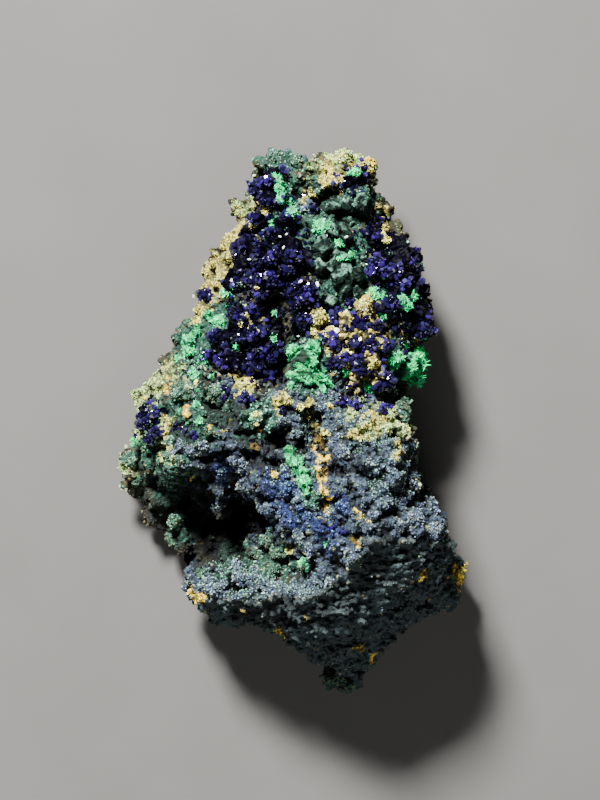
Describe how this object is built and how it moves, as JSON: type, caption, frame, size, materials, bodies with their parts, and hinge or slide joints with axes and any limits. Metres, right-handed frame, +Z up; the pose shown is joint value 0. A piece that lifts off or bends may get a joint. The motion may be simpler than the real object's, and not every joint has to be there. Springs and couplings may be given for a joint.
{
  "type": "azurite specimen",
  "caption": "Broken wedge of limonite rock crusted with deep blue azurite and bright green malachite crystals, with a dark hollow in its thick end, lying on its back.",
  "frame": {"origin": "centre of the bounding box's bottom, on the flat broken face that it rests on", "axes": "+Y towards the narrow end along the longest side, +X to the right seen from above, +Z up out of the crystal-covered front"},
  "size_m": [0.0496, 0.0774, 0.0335],
  "materials": {
    "limonite": "rough, sandy broken rock with a dusting of blue and green",
    "azurite": "glassy deep blue crystal facets",
    "malachite": "silky bright green crust"
  },
  "bodies": {
    "root": {"matrix": "limonite", "azurite_rosette": "azurite", "azurite_top": "azurite", "azurite_upper": "azurite", "azurite_middle": "azurite", "azurite_right": "azurite", "azurite_centre": "azurite", "azurite_top_right": "azurite", "azurite_left": "azurite", "malachite_centre": "malachite", "malachite_right": "malachite", "malachite_top": "malachite", "malachite_blocks": "malachite", "malachite_left": "malachite", "malachite_vein": "malachite"}
  },
  "joints": []
}
